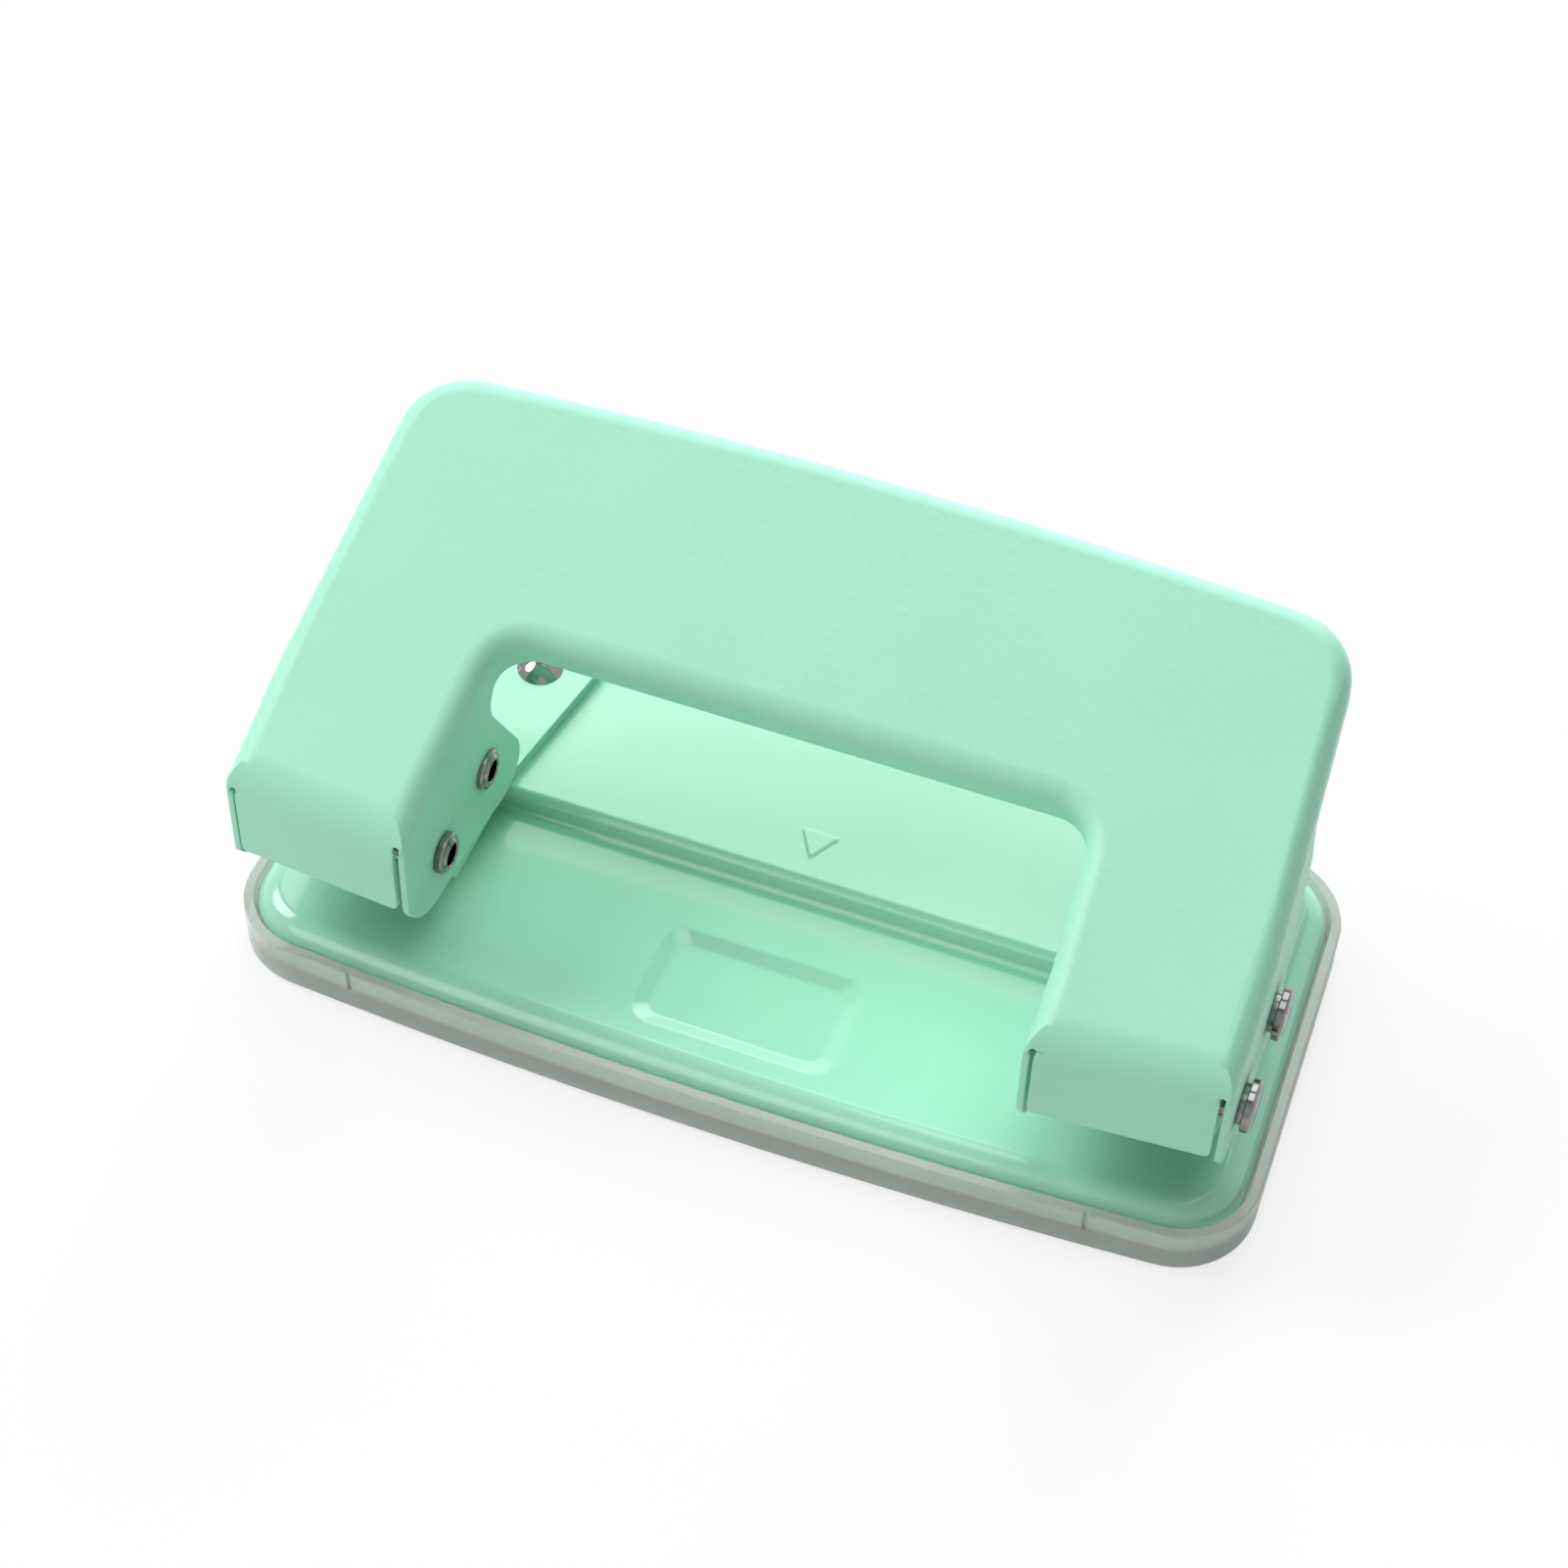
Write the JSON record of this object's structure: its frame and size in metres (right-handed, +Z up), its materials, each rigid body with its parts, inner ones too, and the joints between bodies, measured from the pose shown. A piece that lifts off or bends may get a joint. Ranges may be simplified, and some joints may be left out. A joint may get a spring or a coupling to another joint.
{
  "type": "paper hole punch",
  "caption": "Desk paper punch: bent sheet lever on riveted brackets, sprung round punches, pressed base with a paper stop, and a clear tray for the chips that clips on from below.",
  "frame": {"origin": "on the resting plane, under the middle of the tray", "axes": "+X to the right along the row of holes, +Y from the paper side to the handle, +Z up"},
  "size_m": [0.106, 0.0504, 0.0463],
  "materials": {
    "base_coat": "gloss mint enamel",
    "lever_coat": "fine-grained matte mint powder coat",
    "clear_tray": "clear, slightly smoky",
    "bright_metal": "bright plated",
    "tool_steel": "ground",
    "spring_steel": "drawn wire and strip"
  },
  "bodies": {
    "base": {"base_plate": "base_coat", "left_bracket": "base_coat", "right_bracket": "base_coat", "left_inner_rivet": "bright_metal", "left_outer_rivet": "bright_metal", "right_inner_rivet": "bright_metal", "right_outer_rivet": "bright_metal", "left_spring": "spring_steel", "right_spring": "spring_steel"},
    "lever": {"lever": "lever_coat", "left_pivot_pin": "bright_metal", "right_pivot_pin": "bright_metal", "left_drive_pin": "bright_metal", "right_drive_pin": "bright_metal", "left_pivot_ring": "bright_metal", "right_pivot_ring": "bright_metal", "left_drive_ring": "bright_metal", "right_drive_ring": "bright_metal"},
    "left_punch": {"left_punch": "tool_steel", "left_clip": "spring_steel"},
    "right_punch": {"right_punch": "tool_steel", "right_clip": "spring_steel"},
    "tray": {"chip_tray": "clear_tray"}
  },
  "joints": [
    {"name": "lever_hinge", "type": "hinge", "parent": "base", "child": "lever", "pos_m": [0, -0.01693, 0.0204], "axis": [-1, 0, 0], "range_deg": [0, 19], "stiffness_Nm_per_rad": 0.145, "springref_deg": -22.92},
    {"name": "left_punch_slide", "type": "slide", "parent": "base", "child": "left_punch", "axis": [0, 0, -1], "range_m": [0, 0.00331], "deforming": ["left_spring"]},
    {"name": "right_punch_slide", "type": "slide", "parent": "base", "child": "right_punch", "axis": [0, 0, -1], "range_m": [0, 0.00331], "deforming": ["right_spring"]},
    {"name": "tray_snap", "type": "slide", "parent": "base", "child": "tray", "axis": [0, 0, -1], "range_m": [0, 0.012]}
  ],
  "couplings": [
    {"joint": "left_punch_slide", "follows": "lever_hinge", "m_per_rad": 0.009954},
    {"joint": "right_punch_slide", "follows": "lever_hinge", "m_per_rad": 0.009954}
  ]
}
